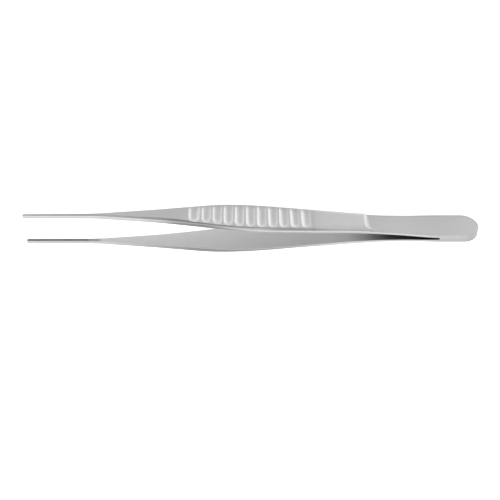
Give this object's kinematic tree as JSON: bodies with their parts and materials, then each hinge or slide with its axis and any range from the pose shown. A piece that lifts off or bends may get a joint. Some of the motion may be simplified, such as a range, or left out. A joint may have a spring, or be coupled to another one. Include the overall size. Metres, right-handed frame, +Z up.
{
  "type": "thumb forceps",
  "caption": "Straight thumb forceps of satin steel: two spring arms joined at the tail, fluted grips, slender jaws with fine toothed faces.",
  "frame": {"origin": "centre of the rectangle that the forceps covers on the table it lies on, at the level of its lowest edges", "axes": "+X along the forceps towards the tips, +Y across the opening towards the single-row arm, +Z up along the width of the arms"},
  "size_m": [0.15, 0.013, 0.0121],
  "materials": {
    "steel": "satin, fine lengthwise grain"
  },
  "bodies": {
    "root": {"double_row_arm": "steel", "single_row_arm": "steel"}
  },
  "joints": []
}
